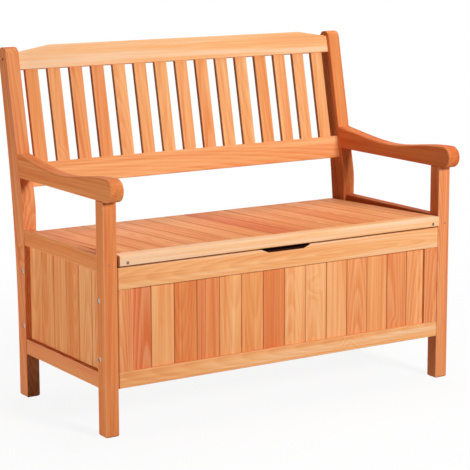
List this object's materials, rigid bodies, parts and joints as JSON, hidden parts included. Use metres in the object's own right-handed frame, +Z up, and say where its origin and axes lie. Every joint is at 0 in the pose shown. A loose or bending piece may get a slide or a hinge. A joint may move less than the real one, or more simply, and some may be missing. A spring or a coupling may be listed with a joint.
{
  "type": "outdoor storage bench",
  "caption": "Stained softwood storage bench: tongue-and-groove panelled box, hinged sloping seat lid with finger notch, curved arms and a reclined slatted back",
  "frame": {"origin": "centre of the bounding box on the ground plane", "axes": "+X along the bench to the sitter's left as seen from the front, to the right in the front view; +Y to the back; +Z up"},
  "size_m": [1.08, 0.61, 0.9341],
  "materials": {
    "stained_wood": "satin orange-tan stain on softwood, grain showing",
    "zinc": "bright zinc plating"
  },
  "bodies": {
    "frame": {"back_boards": "stained_wood", "back_bottom_rail": "stained_wood", "back_slat_01": "stained_wood", "back_slat_02": "stained_wood", "back_slat_03": "stained_wood", "back_slat_04": "stained_wood", "back_slat_05": "stained_wood", "back_slat_06": "stained_wood", "back_slat_07": "stained_wood", "back_slat_08": "stained_wood", "back_slat_09": "stained_wood", "back_slat_10": "stained_wood", "back_slat_11": "stained_wood", "back_slat_12": "stained_wood", "back_slat_13": "stained_wood", "back_slat_14": "stained_wood", "back_slat_15": "stained_wood", "back_top_rail": "stained_wood", "backrest_lower_rail": "stained_wood", "backrest_top_rail": "stained_wood", "barrel_nuts": "zinc", "floor_back_cleat": "stained_wood", "floor_boards": "stained_wood", "floor_front_cleat": "stained_wood", "front_boards": "stained_wood", "front_bottom_rail": "stained_wood", "front_top_rail": "stained_wood", "hinge_fixed_leaves": "zinc", "hinge_frame_screws": "zinc", "hinge_pins": "zinc", "left_arm": "stained_wood", "left_back_leg": "stained_wood", "left_back_stile": "stained_wood", "left_front_leg": "stained_wood", "left_front_stile": "stained_wood", "left_lid_rest": "stained_wood", "left_side_boards": "stained_wood", "left_side_bottom_rail": "stained_wood", "left_side_top_rail": "stained_wood", "leg_bolts": "zinc", "post_screws": "zinc", "rail_pins": "zinc", "right_arm": "stained_wood", "right_back_leg": "stained_wood", "right_back_stile": "stained_wood", "right_front_leg": "stained_wood", "right_front_stile": "stained_wood", "right_lid_rest": "stained_wood", "right_side_boards": "stained_wood", "right_side_bottom_rail": "stained_wood", "right_side_top_rail": "stained_wood"},
    "lid": {"lid_lip": "stained_wood", "lid_boards": "stained_wood", "left_lid_end_batten": "stained_wood", "right_lid_end_batten": "stained_wood", "lid_middle_batten": "stained_wood", "lid_rear_batten": "stained_wood", "hinge_moving_leaves": "zinc", "hinge_lid_screws": "zinc", "lip_screws": "zinc"}
  },
  "joints": [
    {"name": "lid_hinge", "type": "hinge", "parent": "frame", "child": "lid", "pos_m": [0, 0.20746, 0.42399], "axis": [-1, 0, 0], "range_deg": [0, 74]}
  ]
}
